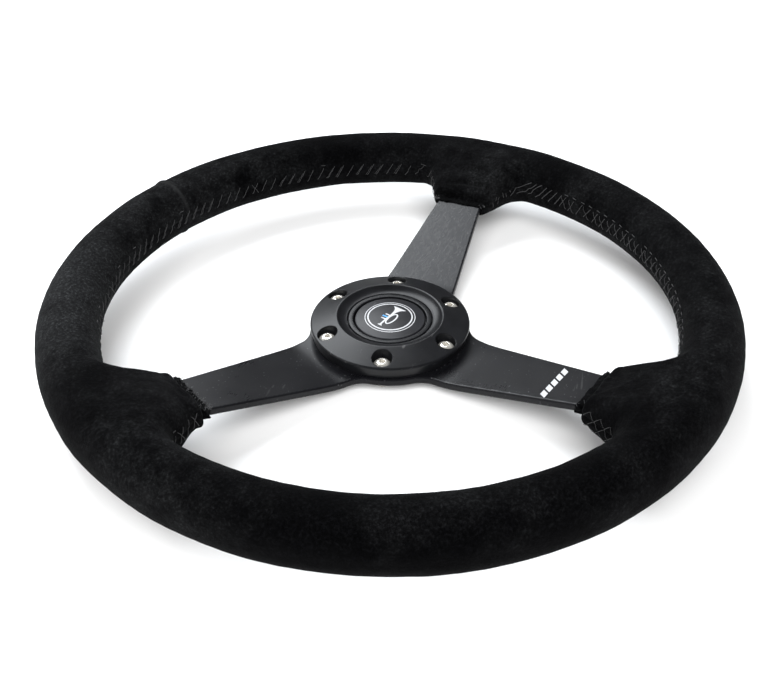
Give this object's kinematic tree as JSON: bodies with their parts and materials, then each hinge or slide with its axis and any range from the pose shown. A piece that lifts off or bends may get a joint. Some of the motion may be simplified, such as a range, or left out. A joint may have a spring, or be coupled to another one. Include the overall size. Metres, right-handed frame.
{
  "type": "steering wheel",
  "caption": "Round dished steering wheel with flat metal spokes, a suede-wrapped grip rim laced on its inner side, and a sprung horn button in a bolted hub ring.",
  "frame": {"origin": "centre of the hub's flat rear seating face, on the steering axis", "axes": "+Z along the steering axis towards the driver, +Y to twelve o'clock, +X to the driver's right"},
  "size_m": [0.35, 0.35, 0.0452],
  "materials": {
    "plate_black": "matt black anodised aluminium",
    "ring_black": "satin black anodised aluminium",
    "core_steel": "plain mill steel",
    "rivet_aluminium": "plain",
    "foam_grey": "moulded foam",
    "suede_black": "napped suede",
    "thread_charcoal": "waxed twisted thread",
    "bolt_steel": "bright stainless",
    "bezel_black": "satin",
    "body_plastic": "matt moulded",
    "cap_charcoal": "satin",
    "print_white": "printed graphic",
    "contact_brass": "plain stamped",
    "terminal_tin": "tinned",
    "spring_steel": "drawn wire"
  },
  "bodies": {
    "wheel": {"spoke_plate": "plate_black", "rim_core": "core_steel", "rim_rivets": "rivet_aluminium", "rim_foam": "foam_grey", "suede_cover": "suede_black", "hem_strip_left": "suede_black", "hem_strip_right": "suede_black", "hem_strip_bottom": "suede_black", "lacing_top": "thread_charcoal", "lacing_left": "thread_charcoal", "lacing_right": "thread_charcoal", "horn_ring": "ring_black", "mounting_bolts": "bolt_steel", "button_bezel": "bezel_black", "button_body": "body_plastic", "live_contact": "contact_brass", "ground_contact": "contact_brass", "contact_rivets": "contact_brass", "live_terminal": "terminal_tin", "ground_terminal": "terminal_tin"},
    "horn_cap": {"button_cap": "cap_charcoal", "cap_emblem": "print_white", "moving_contact": "contact_brass", "return_spring": "spring_steel"}
  },
  "joints": [
    {"name": "horn_press", "type": "slide", "parent": "wheel", "child": "horn_cap", "axis": [0, 0, -1], "range_m": [0, 0.002], "stiffness_N_per_m": 2500, "springref_m": -0.002, "deforming": ["return_spring"]}
  ]
}
